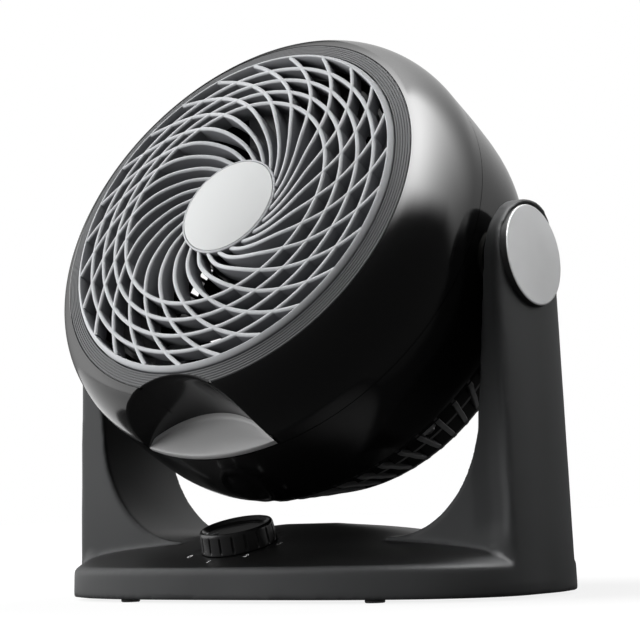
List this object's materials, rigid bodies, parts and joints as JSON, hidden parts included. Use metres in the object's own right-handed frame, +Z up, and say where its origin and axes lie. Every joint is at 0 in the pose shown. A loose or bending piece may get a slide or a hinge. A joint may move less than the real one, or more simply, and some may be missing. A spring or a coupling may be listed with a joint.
{
  "type": "desk air circulator fan",
  "caption": "Round desk air circulator: a ribbed blower head tilts between two arms on a low sloping base with a rotary speed knob.",
  "frame": {"origin": "middle of the part's footprint box, on the surface it stands on", "axes": "+Z up, -Y is the front that the air leaves toward at rest, +X to the right seen from the front"},
  "size_m": [0.2686, 0.2042, 0.2752],
  "materials": {
    "stand_charcoal": "fine matte texture",
    "shell_gloss_black": "high gloss",
    "rear_charcoal": "satin",
    "bezel_gray": "fine concentric grooves, satin",
    "insert_gray": "satin",
    "grille_silver": "satin silver paint on plastic",
    "hub_cap_silver": "brushed satin",
    "pivot_cap_gray": "satin",
    "impeller_gray": "satin",
    "knob_black": "gloss top, ribbed rim",
    "foot_rubber": "matte",
    "bearing_nylon": "natural",
    "electrical_plastic": "plain",
    "fastener_steel": "zinc plated",
    "motor_steel": "varnished laminations",
    "motor_shell": "satin"
  },
  "bodies": {
    "stand": {"base_housing": "stand_charcoal", "base_plate": "stand_charcoal", "right_arm": "stand_charcoal", "left_arm": "stand_charcoal", "rubber_feet": "foot_rubber", "base_screws": "fastener_steel", "arm_screws": "fastener_steel", "right_pivot_cap": "pivot_cap_gray", "left_pivot_cap": "pivot_cap_gray", "right_pivot_bush": "bearing_nylon", "left_pivot_bush": "bearing_nylon", "cord_inlet": "stand_charcoal", "terminal_block": "electrical_plastic", "motor_capacitor": "electrical_plastic", "rotary_switch": "electrical_plastic", "switch_nut": "fastener_steel"},
    "knob": {"switch_shaft": "fastener_steel", "control_knob": "knob_black"},
    "head": {"front_housing": "shell_gloss_black", "rear_housing": "shell_gloss_black", "duct_ring": "rear_charcoal", "bezel_ring": "bezel_gray", "scoop_insert": "insert_gray", "front_grille": "grille_silver", "hub_cap": "hub_cap_silver", "rear_grille": "rear_charcoal", "clip_blocks": "insert_gray", "clip_screws": "fastener_steel", "housing_screws": "fastener_steel", "right_trunnion": "fastener_steel", "left_trunnion": "fastener_steel", "trunnion_screws": "fastener_steel", "right_pivot_spacer": "bearing_nylon", "left_pivot_spacer": "bearing_nylon", "right_pivot_washer": "fastener_steel", "left_pivot_washer": "fastener_steel", "right_pivot_nut": "fastener_steel", "left_pivot_nut": "fastener_steel", "motor_rear_cover": "motor_shell", "motor_front_cover": "motor_shell", "motor_screws": "fastener_steel", "stator": "motor_steel", "front_bearing": "fastener_steel", "rear_bearing": "fastener_steel"},
    "impeller": {"rotor": "motor_steel", "motor_shaft": "fastener_steel", "impeller": "impeller_gray", "spinner": "impeller_gray"}
  },
  "joints": [
    {"name": "head_tilt", "type": "hinge", "parent": "stand", "child": "head", "pos_m": [0, 0.00164, 0.1545], "axis": [-1, 0, 0], "range_deg": [-28.5, 61.5]},
    {"name": "impeller_spin", "type": "hinge", "parent": "head", "child": "impeller", "pos_m": [0, 0.00164, 0.1545], "axis": [0, -0.8788, 0.4772], "continuous": true},
    {"name": "knob_turn", "type": "hinge", "parent": "stand", "child": "knob", "pos_m": [-0.0202, -0.02976, 0.0253], "axis": [0, -0.2656, 0.9641], "range_deg": [0, 135]}
  ]
}
